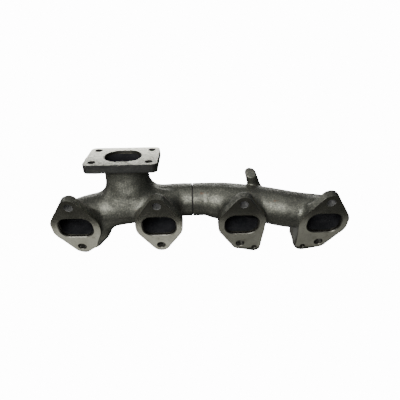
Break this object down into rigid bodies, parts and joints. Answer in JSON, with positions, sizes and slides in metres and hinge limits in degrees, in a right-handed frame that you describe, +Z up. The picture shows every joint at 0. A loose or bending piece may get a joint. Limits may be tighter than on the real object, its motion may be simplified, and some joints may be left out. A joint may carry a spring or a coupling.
{
  "type": "exhaust manifold",
  "caption": "Cast iron exhaust manifold in two castings joined by a ringed slip joint, with head flanges along one side and a flange for a turbocharger on a riser.",
  "frame": {"origin": "on the cylinder head face, midway between the two middle ports and level with the port centres", "axes": "+X along the engine from the turbocharger end to the other end, -Y into the cylinder head, +Z up along the line of each flange's two bolts, towards the turbocharger flange"},
  "size_m": [0.4644, 0.1095, 0.1555],
  "materials": {
    "cast_iron": "as cast, dark grey, with milled port and turbocharger faces",
    "ring_steel": "ground spring steel"
  },
  "bodies": {
    "front": {"front_manifold": "cast_iron"},
    "rings": {"sealing_ring_1": "ring_steel", "sealing_ring_2": "ring_steel", "sealing_ring_3": "ring_steel"},
    "rear": {"rear_manifold": "cast_iron"}
  },
  "joints": [
    {"name": "slip_joint_slide", "type": "slide", "parent": "front", "child": "rings", "axis": [1, 0, 0], "range_m": [-0.0002, 0.0035]},
    {"name": "slip_joint_twist", "type": "hinge", "parent": "rings", "child": "rear", "pos_m": [-0.012, 0.0615, 0], "axis": [1, 0, 0], "range_deg": [-2, 2]}
  ]
}
